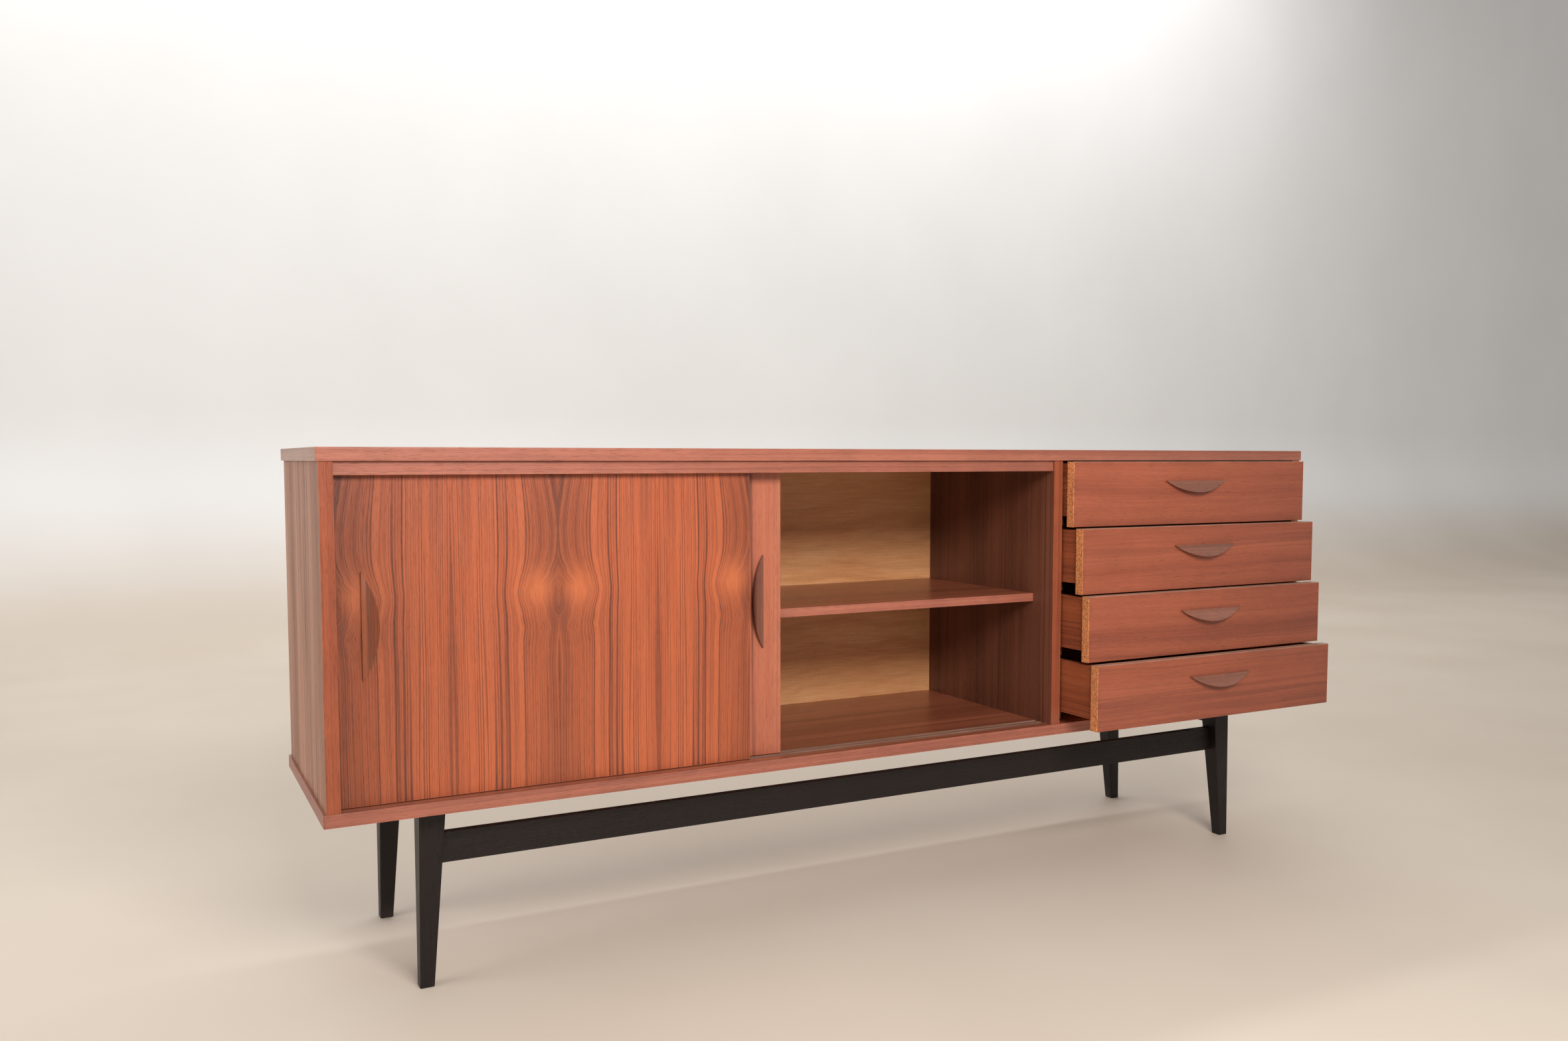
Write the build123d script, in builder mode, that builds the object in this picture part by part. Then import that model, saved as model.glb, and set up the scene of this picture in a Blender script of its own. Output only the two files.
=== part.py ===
from build123d import *

import os

# Sideboard with two sliding doors and four drawers on a black frame with tapered legs.
# Millimetres.  +X is to the right along the length, +Y runs to the back, +Z is up.
# The floor is Z = 0, and X = 0 and Y = 0 are the middle of the whole piece as it stands
# with its drawers part-way out.

os.makedirs("parts", exist_ok=True)

# ---- Driving dimensions -------------------------------------------------------------------
OVERALL_LENGTH = 1900.0
OVERALL_HEIGHT = 790.0
PANEL = 19.0                  # veneered board of the carcass
CARCASS_DEPTH = 402.0         # side panels, front to back
LEG_HEIGHT = 269.0

END_OVERHANG = 4.0            # top and bottom stand past the sides by this
TOP_FRONT_OVERHANG = 2.0
TOP_REAR_OVERHANG = 6.0
BOTTOM_FRONT_OVERHANG = 1.5
BOTTOM_REAR_OVERHANG = 4.0
DRAWER_BAY = 597.0            # clear width between bay divider and right side
DIVIDER_SETBACK = 1.0

BACK_PLY = 5.0
BACK_REBATE = 8.0

RAIL_HEIGHT = 19.5            # fascia that hides the top of the doors
RAIL_SETBACK = 4.0

DOOR = 12.0
DOOR_SETBACK = 18.0           # front door's face behind the carcass front
DOOR_PITCH = 16.0             # front door's face to rear door's face
DOOR_OVERLAP = 28.0
DOOR_SIDE_GAP = 1.0
DOOR_LIFT = 1.0               # under the door, above the bottom panel
DOOR_TOP_DROP = 8.5           # between the door's top edge and the top panel
REAR_DOOR_OPENED = 540.0      # how far the rear door stands open
TRACK_CLEARANCE = 0.8

STRIP_WIDTH = 2.4             # lower running strips
STRIP_PROUD = 2.0
STRIP_LET_IN = 3.0
STRIP_END_GAP = 6.0
STRIP_SLOT_GAP = 0.1
DOOR_SLOT_WIDTH = 3.6
DOOR_SLOT_DEPTH = 1.4

UPPER_TRACK_DEPTH = 54.0      # its rear face, behind the carcass front
UPPER_TRACK_HEIGHT = 16.0
UPPER_TRACK_WEB = 4.0

SHELF = 15.0
SHELF_UNDERSIDE = 222.0       # above the bottom panel
SHELF_SETBACK = 56.0
SHELF_GAP = 0.5
PIN_RADIUS = 2.5
PIN_LENGTH = 17.0
PIN_IN_PANEL = 8.0
PIN_ROWS = (97.0, 330.0)

DRAWER_COUNT = 4
DRAWER_GAP = 2.2              # around each drawer front, top and bottom
DRAWER_END_GAP = 1.5
DRAWER_FRONT = 18.0
DRAWERS_OPENED = (28.0, 54.0, 73.0, 99.0)
DRAWER_SIDE = 12.0
DRAWER_SIDE_INSET = 4.0       # drawer side in from the end of its front
DRAWER_SIDE_LIFT = 19.0       # drawer side's lower edge above its front's lower edge
DRAWER_SIDE_DROP = 3.0        # drawer side's upper edge below its front's upper edge
DRAWER_REAR_GAP = 1.5
DRAWER_BOTTOM = 4.0
DRAWER_BOTTOM_LIFT = 8.0
DRAWER_GROOVE = 5.0
DRAWER_FIT = 0.2
DRAWER_BACK_DROP = 10.0

RUNNER_WIDTH = 20.0
RUNNER_HEIGHT = 17.0
RUNNER_GAP = 0.4
RUNNER_REAR_GAP = 6.0

HANDLE_LENGTH = 152.0         # crescent pull, along its straight edge
HANDLE_WIDTH = 22.0           # straight edge to lip
HANDLE_PROJECTION = 16.0
HANDLE_LIP = 4.0
HANDLE_FOOT = 7.0
HANDLE_EDGE = 5.0             # how far the straight edge stands off the board
HANDLE_HOLLOW = 2.6           # how far the sloping face is dished
DOOR_HANDLE_INSET = 34.0      # straight edge in from the door's outer edge
DOOR_HANDLE_HEIGHT = 254.0    # middle of the pull above the bottom panel
DRAWER_HANDLE_DROP = 36.0     # straight edge below the drawer front's upper edge

LEG_TOP = 39.0
LEG_FOOT = 21.0
LEG_SPLAY = 3.0
LEG_ROUND = 2.0
LEG_END_INSET = 133.0         # leg's outer face in from the side panel's outer face
FRONT_LEG_SETBACK = 48.0
REAR_LEG_SETBACK = 369.0
BASE_RAIL_HEIGHT = 36.0
BASE_RAIL = 22.0
STRETCHER_HEIGHT = 45.0
STRETCHER_TOP = 223.0
STRETCHER = 15.0
STRETCHER_SETBACK = 17.0      # behind the leg's front face

DOWEL_RADIUS = 3.95
DOWEL_HOLE_RADIUS = 4.05
DOWEL_LENGTH = 30.0
DOWEL_IN_PANEL = 10.0
DOWEL_END_SLACK = 0.5
DOWEL_ROWS = (90.0, 200.0, 350.0)

SCREW_RADIUS = 2.0
SCREW_HOLE_RADIUS = 2.1
SCREW_HEAD_RADIUS = 4.5
SCREW_HEAD = 3.0
SCREW_SINK = 16.0             # depth of the wide hole that takes the head
SCREW_LENGTH = 33.0
SCREW_ROWS = (130.0, 228.0, 325.0)

NAIL_RADIUS = 0.8
NAIL_HOLE_RADIUS = 0.9
NAIL_HEAD_RADIUS = 2.0
NAIL_HEAD = 0.5
NAIL_LENGTH = 14.0
NAIL_ROWS = 6

EDGE_ROUND = 1.2
TOP_CORNER_ROUND = 3.0

# ---- Places worked out from the driving dimensions ---------------------------------------
HALF_CARCASS = OVERALL_LENGTH / 2 - END_OVERHANG
INNER = HALF_CARCASS - PANEL
FLOOR_TOP = LEG_HEIGHT + PANEL
INNER_TOP = OVERALL_HEIGHT - PANEL

# Y of the carcass front: it puts the middle of the whole depth at Y = 0.
FRONT = -(CARCASS_DEPTH + TOP_REAR_OVERHANG - max(DRAWERS_OPENED) - HANDLE_PROJECTION) / 2
BACK = FRONT + CARCASS_DEPTH
PLY_FRONT = BACK - BACK_PLY

BAY_DIVIDER = (INNER - DRAWER_BAY - PANEL, INNER - DRAWER_BAY)
DOOR_BAY = (-INNER, BAY_DIVIDER[0])
DOOR_BAY_MIDDLE = sum(DOOR_BAY) / 2
CENTRE_DIVIDER = (DOOR_BAY_MIDDLE - PANEL / 2, DOOR_BAY_MIDDLE + PANEL / 2)
DOOR_WIDTH = (DOOR_BAY[1] - DOOR_BAY[0] + DOOR_OVERLAP) / 2 - DOOR_SIDE_GAP

FRONT_DOOR_FACE = FRONT + DOOR_SETBACK
REAR_DOOR_FACE = FRONT_DOOR_FACE + DOOR_PITCH
FRONT_DOOR_LEFT = DOOR_BAY[0] + DOOR_SIDE_GAP
REAR_DOOR_RIGHT = DOOR_BAY[1] - DOOR_SIDE_GAP - REAR_DOOR_OPENED
DOOR_HEIGHTS = (FLOOR_TOP + DOOR_LIFT, INNER_TOP - DOOR_TOP_DROP)

DRAWER_HEIGHT = (INNER_TOP - FLOOR_TOP - (DRAWER_COUNT + 1) * DRAWER_GAP) / DRAWER_COUNT
DRAWER_ENDS = (BAY_DIVIDER[1] + DRAWER_END_GAP, INNER - DRAWER_END_GAP)
DRAWER_SIDES = (DRAWER_ENDS[0] + DRAWER_SIDE_INSET, DRAWER_ENDS[1] - DRAWER_SIDE_INSET)
DRAWER_BOX_LENGTH = CARCASS_DEPTH - BACK_PLY - DRAWER_FRONT - DRAWER_REAR_GAP

LEG_OUTER = HALF_CARCASS - LEG_END_INSET
LEG_INNER = LEG_OUTER - LEG_TOP
BASE_RAIL_MIDDLE = LEG_OUTER - LEG_TOP / 2
BASE_RAIL_HEIGHTS = (LEG_HEIGHT - BASE_RAIL_HEIGHT, LEG_HEIGHT)
SHELF_BASE = FLOOR_TOP + SHELF_UNDERSIDE

UPRIGHTS = (-HALF_CARCASS + PANEL / 2, sum(CENTRE_DIVIDER) / 2,
            sum(BAY_DIVIDER) / 2, HALF_CARCASS - PANEL / 2)
DOWEL_BASES = (INNER_TOP + DOWEL_IN_PANEL - DOWEL_LENGTH, FLOOR_TOP - DOWEL_IN_PANEL)

NAIL_SPACING = (INNER_TOP - FLOOR_TOP) / NAIL_ROWS
NAIL_COLUMNS = (-INNER - BACK_REBATE / 2, UPRIGHTS[1], UPRIGHTS[2], INNER + BACK_REBATE / 2)
NAIL_PLACES = [(x, BACK, FLOOR_TOP + NAIL_SPACING * (row + 0.5))
               for x in NAIL_COLUMNS for row in range(NAIL_ROWS)]


# ---- Helpers ------------------------------------------------------------------------------
def write(piece, name):
    """Label a finished piece and write it to its own file."""
    piece.part.label = name
    export_step(piece.part, f"parts/{name}.step")


def board(x_span, y_span, z_span):
    """A rectangular board between three pairs of coordinates."""
    with BuildPart() as piece:
        with BuildSketch(Plane.XY.offset(z_span[0])):
            with Locations((sum(x_span) / 2, sum(y_span) / 2)):
                Rectangle(x_span[1] - x_span[0], y_span[1] - y_span[0])
        extrude(amount=z_span[1] - z_span[0])
    return piece


def dowel_places(upright_middles):
    """Lower end of each dowel in these uprights, at the top panel and at the bottom panel."""
    return [(x, FRONT + row, base)
            for x in upright_middles for row in DOWEL_ROWS for base in DOWEL_BASES]


def pin_holes(panel_faces):
    """Middle of each shelf pin for faces given as (X of the face, way the pin points)."""
    reach = PIN_LENGTH / 2 - PIN_IN_PANEL
    return [(face + way * reach, FRONT + row, SHELF_BASE - PIN_RADIUS)
            for face, way in panel_faces for row in PIN_ROWS]


def drill_for_nails(blank):
    """The same piece with the holes that the back panel's nails go through."""
    with BuildPart() as piece:
        add(blank.part)
        with Locations(*NAIL_PLACES):
            Cylinder(NAIL_HOLE_RADIUS, NAIL_LENGTH + DOWEL_END_SLACK, rotation=(90, 0, 0),
                     align=(Align.CENTER, Align.CENTER, Align.MIN), mode=Mode.SUBTRACT)
    return piece


def upright(x_span, y_span, dowel_x, pin_faces):
    """A standing board with its dowel holes in both ends and its shelf-pin holes."""
    blank = board(x_span, y_span, (FLOOR_TOP, INNER_TOP))
    with BuildPart() as piece:
        add(blank.part)
        with Locations(*[(x, y, z - DOWEL_END_SLACK) for x, y, z in dowel_places([dowel_x])]):
            Cylinder(DOWEL_HOLE_RADIUS, DOWEL_LENGTH + 2 * DOWEL_END_SLACK,
                     align=(Align.CENTER, Align.CENTER, Align.MIN), mode=Mode.SUBTRACT)
        if pin_faces:
            with Locations(*pin_holes(pin_faces)):
                Cylinder(PIN_RADIUS + DRAWER_FIT / 2, PIN_LENGTH + DOWEL_END_SLACK,
                         rotation=(0, 90, 0), mode=Mode.SUBTRACT)
    return drill_for_nails(piece)


def side_panel(way, pin_faces):
    """An outer side panel, rebated at its inner rear edge for the plywood back."""
    outer, inner = way * HALF_CARCASS, way * INNER
    blank = upright(tuple(sorted((outer, inner))), (FRONT, BACK), (outer + inner) / 2, pin_faces)
    rebate_ends = tuple(sorted((inner, inner + way * BACK_REBATE)))
    rebate = board(rebate_ends, (PLY_FRONT, BACK), (FLOOR_TOP, INNER_TOP))
    with BuildPart() as piece:
        add(blank.part)
        add(rebate.part, mode=Mode.SUBTRACT)
    return piece


def crescent_pull(middle, lip):
    """A half-moon pull. middle is the middle of its straight edge, lip the way its lip faces."""
    outward = Vector(0, -1, 0)
    along = lip.cross(outward)
    section_plane = Plane(origin=middle, x_dir=lip, z_dir=along)
    outline_plane = Plane(origin=middle, x_dir=along, z_dir=outward)
    edge = (0, HANDLE_EDGE)
    lip_outside = (HANDLE_WIDTH, HANDLE_PROJECTION)
    lip_inside = (HANDLE_WIDTH, HANDLE_PROJECTION - HANDLE_LIP)
    dish = (HANDLE_WIDTH / 2, (HANDLE_EDGE + HANDLE_PROJECTION) / 2 - HANDLE_HOLLOW)
    with BuildPart() as piece:
        with BuildSketch(section_plane):
            with BuildLine():
                Polyline((0, 0), edge)
                ThreePointArc(edge, dish, lip_outside)
                Polyline(lip_outside, lip_inside, (HANDLE_FOOT, 0), (0, 0))
            make_face()
        extrude(amount=HANDLE_LENGTH / 2, both=True)
        with BuildSketch(outline_plane):
            with BuildLine():
                Line((-HANDLE_LENGTH / 2, 0), (HANDLE_LENGTH / 2, 0))
                ThreePointArc((HANDLE_LENGTH / 2, 0), (0, HANDLE_WIDTH), (-HANDLE_LENGTH / 2, 0))
            make_face()
        extrude(amount=HANDLE_PROJECTION, mode=Mode.INTERSECT)
    return piece


def sliding_door(left, face):
    """A door panel with the slot in its lower edge that sits over the running strip."""
    middle_y = face + DOOR / 2
    blank = board((left, left + DOOR_WIDTH), (face, face + DOOR), DOOR_HEIGHTS)
    slot = board((left, left + DOOR_WIDTH),
                 (middle_y - DOOR_SLOT_WIDTH / 2, middle_y + DOOR_SLOT_WIDTH / 2),
                 (DOOR_HEIGHTS[0], DOOR_HEIGHTS[0] + DOOR_SLOT_DEPTH))
    with BuildPart() as piece:
        add(blank.part)
        add(slot.part, mode=Mode.SUBTRACT)
    return piece


def drawer_floor_z(number):
    """Lower edge of a drawer front. Drawer 1 is the top one."""
    return INNER_TOP - number * (DRAWER_GAP + DRAWER_HEIGHT)


def leg(way, setback):
    """A square leg that tapers to its foot on its inner and rear faces."""
    with BuildPart() as piece:
        for height, section, lean in ((0, LEG_FOOT, LEG_SPLAY), (LEG_HEIGHT, LEG_TOP, 0)):
            with BuildSketch(Plane.XY.offset(height)):
                with Locations((way * (LEG_OUTER + lean - section / 2), FRONT + setback + section / 2)):
                    Rectangle(section, section)
        loft()
        long_edges = piece.edges().filter_by(lambda edge: edge.length > LEG_HEIGHT / 2)
        fillet(long_edges, radius=LEG_ROUND)
        chamfer(piece.faces().sort_by(Axis.Z)[0].edges(), length=LEG_ROUND / 2)
    return piece


# ---- Carcass: top and bottom --------------------------------------------------------------
with BuildPart() as top_panel:
    with BuildSketch(Plane.XY.offset(INNER_TOP)):
        with Locations((0, FRONT + (CARCASS_DEPTH + TOP_REAR_OVERHANG - TOP_FRONT_OVERHANG) / 2)):
            Rectangle(OVERALL_LENGTH, CARCASS_DEPTH + TOP_REAR_OVERHANG + TOP_FRONT_OVERHANG)
    extrude(amount=PANEL)
    fillet(top_panel.edges().filter_by(Axis.Z), radius=TOP_CORNER_ROUND)
    fillet(top_panel.faces().sort_by(Axis.Z)[-1].edges(), radius=EDGE_ROUND)
    with Locations(*[(x, y, z - DOWEL_END_SLACK) for x, y, z in dowel_places(UPRIGHTS)
                     if z > SHELF_BASE]):
        Cylinder(DOWEL_HOLE_RADIUS, DOWEL_LENGTH + 2 * DOWEL_END_SLACK,
                 align=(Align.CENTER, Align.CENTER, Align.MIN), mode=Mode.SUBTRACT)
write(top_panel, "top_panel")

BASE_SCREW_PLACES = [(way * BASE_RAIL_MIDDLE, FRONT + row, BASE_RAIL_HEIGHTS[0])
                     for way in (-1, 1) for row in SCREW_ROWS]

with BuildPart() as bottom_panel:
    with BuildSketch(Plane.XY.offset(LEG_HEIGHT)):
        with Locations((0, FRONT + (CARCASS_DEPTH + BOTTOM_REAR_OVERHANG - BOTTOM_FRONT_OVERHANG) / 2)):
            Rectangle(OVERALL_LENGTH, CARCASS_DEPTH + BOTTOM_REAR_OVERHANG + BOTTOM_FRONT_OVERHANG)
    extrude(amount=PANEL)
    fillet(bottom_panel.edges().filter_by(Axis.Z), radius=TOP_CORNER_ROUND)
    with BuildSketch(Plane.XY.offset(FLOOR_TOP)):
        for face in (FRONT_DOOR_FACE, REAR_DOOR_FACE):
            with Locations((DOOR_BAY_MIDDLE, face + DOOR / 2)):
                Rectangle(DOOR_BAY[1] - DOOR_BAY[0] - 2 * (STRIP_END_GAP - STRIP_SLOT_GAP),
                          STRIP_WIDTH + 2 * STRIP_SLOT_GAP)
    extrude(amount=-STRIP_LET_IN, mode=Mode.SUBTRACT)
    with Locations(*[(x, y, z - DOWEL_END_SLACK) for x, y, z in dowel_places(UPRIGHTS)
                     if z < SHELF_BASE]):
        Cylinder(DOWEL_HOLE_RADIUS, DOWEL_LENGTH + 2 * DOWEL_END_SLACK,
                 align=(Align.CENTER, Align.CENTER, Align.MIN), mode=Mode.SUBTRACT)
    with Locations(*BASE_SCREW_PLACES):
        Cylinder(SCREW_HOLE_RADIUS, SCREW_SINK + SCREW_LENGTH + DOWEL_END_SLACK,
                 align=(Align.CENTER, Align.CENTER, Align.MIN), mode=Mode.SUBTRACT)
write(bottom_panel, "bottom_panel")

# ---- Carcass: uprights, back and fascia ---------------------------------------------------
left_side_panel = side_panel(-1, [(-INNER, 1)])
write(left_side_panel, "left_side_panel")

right_side_panel = side_panel(1, [])
write(right_side_panel, "right_side_panel")

centre_divider = upright(CENTRE_DIVIDER, (FRONT + SHELF_SETBACK, PLY_FRONT), UPRIGHTS[1],
                         [(CENTRE_DIVIDER[0], -1), (CENTRE_DIVIDER[1], 1)])
write(centre_divider, "centre_divider")

bay_divider = upright(BAY_DIVIDER, (FRONT + DIVIDER_SETBACK, PLY_FRONT), UPRIGHTS[2],
                      [(BAY_DIVIDER[0], -1)])
write(bay_divider, "bay_divider")

BACK_HALF_LENGTH = INNER + BACK_REBATE - DRAWER_FIT
back_panel = drill_for_nails(
    board((-BACK_HALF_LENGTH, BACK_HALF_LENGTH), (PLY_FRONT, BACK), (FLOOR_TOP, INNER_TOP)))
write(back_panel, "back_panel")

top_rail = board(DOOR_BAY, (FRONT + RAIL_SETBACK, FRONT_DOOR_FACE - TRACK_CLEARANCE),
                 (INNER_TOP - RAIL_HEIGHT, INNER_TOP))
write(top_rail, "top_rail")

with BuildPart() as carcass_dowels:
    with Locations(*dowel_places(UPRIGHTS)):
        Cylinder(DOWEL_RADIUS, DOWEL_LENGTH, align=(Align.CENTER, Align.CENTER, Align.MIN))
write(carcass_dowels, "carcass_dowels")

with BuildPart() as back_panel_nails:
    with Locations(*NAIL_PLACES):
        Cylinder(NAIL_RADIUS, NAIL_LENGTH, rotation=(90, 0, 0),
                 align=(Align.CENTER, Align.CENTER, Align.MIN))
        Cylinder(NAIL_HEAD_RADIUS, NAIL_HEAD, rotation=(90, 0, 0),
                 align=(Align.CENTER, Align.CENTER, Align.MAX))
write(back_panel_nails, "back_panel_nails")

# ---- Shelves ------------------------------------------------------------------------------
SHELF_BAYS = {"left": (DOOR_BAY[0], CENTRE_DIVIDER[0]), "right": (CENTRE_DIVIDER[1], DOOR_BAY[1])}
for bay, (bay_left, bay_right) in SHELF_BAYS.items():
    shelf = board((bay_left + SHELF_GAP, bay_right - SHELF_GAP),
                  (FRONT + SHELF_SETBACK, PLY_FRONT - SHELF_GAP),
                  (SHELF_BASE, SHELF_BASE + SHELF))
    write(shelf, f"{bay}_shelf")

with BuildPart() as shelf_pins:
    pin_faces = [(ends[0], 1) for ends in SHELF_BAYS.values()]
    pin_faces += [(ends[1], -1) for ends in SHELF_BAYS.values()]
    with Locations(*pin_holes(pin_faces)):
        Cylinder(PIN_RADIUS, PIN_LENGTH, rotation=(0, 90, 0))
write(shelf_pins, "shelf_pins")

# ---- Door tracks --------------------------------------------------------------------------
for place, face in (("front", FRONT_DOOR_FACE), ("rear", REAR_DOOR_FACE)):
    strip = board((DOOR_BAY[0] + STRIP_END_GAP, DOOR_BAY[1] - STRIP_END_GAP),
                  (face + (DOOR - STRIP_WIDTH) / 2, face + (DOOR + STRIP_WIDTH) / 2),
                  (FLOOR_TOP - STRIP_LET_IN, FLOOR_TOP + STRIP_PROUD))
    write(strip, f"{place}_running_strip")

with BuildPart() as upper_door_track:
    fin = (FRONT_DOOR_FACE + DOOR + TRACK_CLEARANCE, REAR_DOOR_FACE - TRACK_CLEARANCE)
    rear_wall = (REAR_DOOR_FACE + DOOR + TRACK_CLEARANCE, FRONT + UPPER_TRACK_DEPTH)
    web = (FRONT_DOOR_FACE - TRACK_CLEARANCE, FRONT + UPPER_TRACK_DEPTH)
    with BuildSketch(Plane.YZ.offset(DOOR_BAY[0])):
        with Locations((sum(web) / 2, INNER_TOP - UPPER_TRACK_WEB / 2)):
            Rectangle(web[1] - web[0], UPPER_TRACK_WEB)
        for wall in (fin, rear_wall):
            with Locations((sum(wall) / 2, INNER_TOP - UPPER_TRACK_HEIGHT / 2)):
                Rectangle(wall[1] - wall[0], UPPER_TRACK_HEIGHT)
    extrude(amount=DOOR_BAY[1] - DOOR_BAY[0])
write(upper_door_track, "upper_door_track")

# ---- Sliding doors ------------------------------------------------------------------------
HANDLE_HEIGHT = FLOOR_TOP + DOOR_HANDLE_HEIGHT

front_sliding_door = sliding_door(FRONT_DOOR_LEFT, FRONT_DOOR_FACE)
write(front_sliding_door, "front_sliding_door")

front_door_handle = crescent_pull(
    Vector(FRONT_DOOR_LEFT + DOOR_HANDLE_INSET, FRONT_DOOR_FACE, HANDLE_HEIGHT), Vector(1, 0, 0))
write(front_door_handle, "front_door_handle")

rear_sliding_door = sliding_door(REAR_DOOR_RIGHT - DOOR_WIDTH, REAR_DOOR_FACE)
write(rear_sliding_door, "rear_sliding_door")

rear_door_handle = crescent_pull(
    Vector(REAR_DOOR_RIGHT - DOOR_HANDLE_INSET, REAR_DOOR_FACE, HANDLE_HEIGHT), Vector(-1, 0, 0))
write(rear_door_handle, "rear_door_handle")

# ---- Drawers ------------------------------------------------------------------------------
for number in range(1, DRAWER_COUNT + 1):
    name = f"drawer_{number}"
    face = FRONT - DRAWERS_OPENED[number - 1]
    front_back = face + DRAWER_FRONT
    rear = front_back + DRAWER_BOX_LENGTH
    base = drawer_floor_z(number)
    crown = base + DRAWER_HEIGHT
    side_heights = (base + DRAWER_SIDE_LIFT, crown - DRAWER_SIDE_DROP)
    bottom_heights = (side_heights[0] + DRAWER_BOTTOM_LIFT,
                      side_heights[0] + DRAWER_BOTTOM_LIFT + DRAWER_BOTTOM)
    inner_sides = (DRAWER_SIDES[0] + DRAWER_SIDE, DRAWER_SIDES[1] - DRAWER_SIDE)
    bottom_ends = (inner_sides[0] - DRAWER_GROOVE, inner_sides[1] + DRAWER_GROOVE)

    # The groove that holds the plywood bottom runs round the front and both sides.
    groove = board(bottom_ends, (front_back - DRAWER_GROOVE, rear),
                   (bottom_heights[0] - DRAWER_FIT, bottom_heights[1] + DRAWER_FIT))

    front_blank = board(DRAWER_ENDS, (face, front_back), (base, crown))
    with BuildPart() as drawer_front:
        add(front_blank.part)
        fillet(drawer_front.faces().sort_by(Axis.Y)[0].edges(), radius=EDGE_ROUND / 2)
        add(groove.part, mode=Mode.SUBTRACT)
    write(drawer_front, f"{name}_front")

    for side, ends in (("left", (DRAWER_SIDES[0], inner_sides[0])),
                       ("right", (inner_sides[1], DRAWER_SIDES[1]))):
        side_blank = board(ends, (front_back, rear), side_heights)
        with BuildPart() as drawer_side:
            add(side_blank.part)
            add(groove.part, mode=Mode.SUBTRACT)
        write(drawer_side, f"{name}_{side}_side")

    drawer_bottom = board((bottom_ends[0] + DRAWER_FIT, bottom_ends[1] - DRAWER_FIT),
                          (front_back - DRAWER_GROOVE + DRAWER_FIT, rear), bottom_heights)
    write(drawer_bottom, f"{name}_bottom")

    drawer_back = board(inner_sides, (rear - DRAWER_SIDE, rear),
                        (bottom_heights[1], side_heights[1] - DRAWER_BACK_DROP))
    write(drawer_back, f"{name}_back")

    drawer_handle = crescent_pull(
        Vector(sum(DRAWER_ENDS) / 2, face, crown - DRAWER_HANDLE_DROP), Vector(0, 0, -1))
    write(drawer_handle, f"{name}_handle")

for side, ends in (("left", (BAY_DIVIDER[1], BAY_DIVIDER[1] + RUNNER_WIDTH)),
                   ("right", (INNER - RUNNER_WIDTH, INNER))):
    with BuildPart() as drawer_runners:
        for number in range(1, DRAWER_COUNT + 1):
            runner_top = drawer_floor_z(number) + DRAWER_SIDE_LIFT - RUNNER_GAP
            with BuildSketch(Plane.XY.offset(runner_top - RUNNER_HEIGHT)):
                with Locations((sum(ends) / 2,
                                FRONT + (DRAWER_FRONT + RUNNER_GAP + CARCASS_DEPTH - BACK_PLY) / 2)):
                    Rectangle(RUNNER_WIDTH,
                              CARCASS_DEPTH - BACK_PLY - DRAWER_FRONT - RUNNER_REAR_GAP)
            extrude(amount=RUNNER_HEIGHT)
    write(drawer_runners, f"{side}_drawer_runners")

# ---- Base frame ---------------------------------------------------------------------------
LEGS = {f"{depth}_{side}_leg": leg(way, setback)
        for depth, setback in (("front", FRONT_LEG_SETBACK), ("rear", REAR_LEG_SETBACK))
        for side, way in (("left", -1), ("right", 1))}
for name, piece in LEGS.items():
    write(piece, name)


def base_rail(x_span, y_span, z_span, screw_places):
    """A rail cut to the legs that it meets, with stepped holes for the carcass screws."""
    blank = board(x_span, y_span, z_span)
    with BuildPart() as piece:
        add(blank.part)
        for name in LEGS:
            add(LEGS[name].part, mode=Mode.SUBTRACT)
        if screw_places:
            with Locations(*screw_places):
                Cylinder(SCREW_HOLE_RADIUS, BASE_RAIL_HEIGHT,
                         align=(Align.CENTER, Align.CENTER, Align.MIN), mode=Mode.SUBTRACT)
                Cylinder(SCREW_HEAD_RADIUS + DRAWER_FIT, SCREW_SINK,
                         align=(Align.CENTER, Align.CENTER, Align.MIN), mode=Mode.SUBTRACT)
    return piece


for side, way in (("left", -1), ("right", 1)):
    ends = (way * BASE_RAIL_MIDDLE - BASE_RAIL / 2, way * BASE_RAIL_MIDDLE + BASE_RAIL / 2)
    places = [place for place in BASE_SCREW_PLACES if place[0] * way > 0]
    end_rail = base_rail(ends, (FRONT + FRONT_LEG_SETBACK + LEG_TOP / 2, FRONT + REAR_LEG_SETBACK),
                         BASE_RAIL_HEIGHTS, places)
    write(end_rail, f"{side}_end_rail")

rear_rail_front = FRONT + REAR_LEG_SETBACK + (LEG_TOP - BASE_RAIL) / 2
rear_rail = base_rail((-LEG_INNER - LEG_TOP / 2, LEG_INNER + LEG_TOP / 2),
                      (rear_rail_front, rear_rail_front + BASE_RAIL), BASE_RAIL_HEIGHTS, [])
write(rear_rail, "rear_rail")

stretcher_front = FRONT + FRONT_LEG_SETBACK + STRETCHER_SETBACK
front_stretcher = base_rail((-LEG_INNER - LEG_TOP / 2, LEG_INNER + LEG_TOP / 2),
                            (stretcher_front, stretcher_front + STRETCHER),
                            (STRETCHER_TOP - STRETCHER_HEIGHT, STRETCHER_TOP), [])
write(front_stretcher, "front_stretcher")

with BuildPart() as base_screws:
    with Locations(*[(x, y, z + SCREW_SINK) for x, y, z in BASE_SCREW_PLACES]):
        Cylinder(SCREW_RADIUS, SCREW_LENGTH, align=(Align.CENTER, Align.CENTER, Align.MIN))
        Cylinder(SCREW_HEAD_RADIUS, SCREW_HEAD, align=(Align.CENTER, Align.CENTER, Align.MAX))
write(base_screws, "base_screws")
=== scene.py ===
import math

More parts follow.
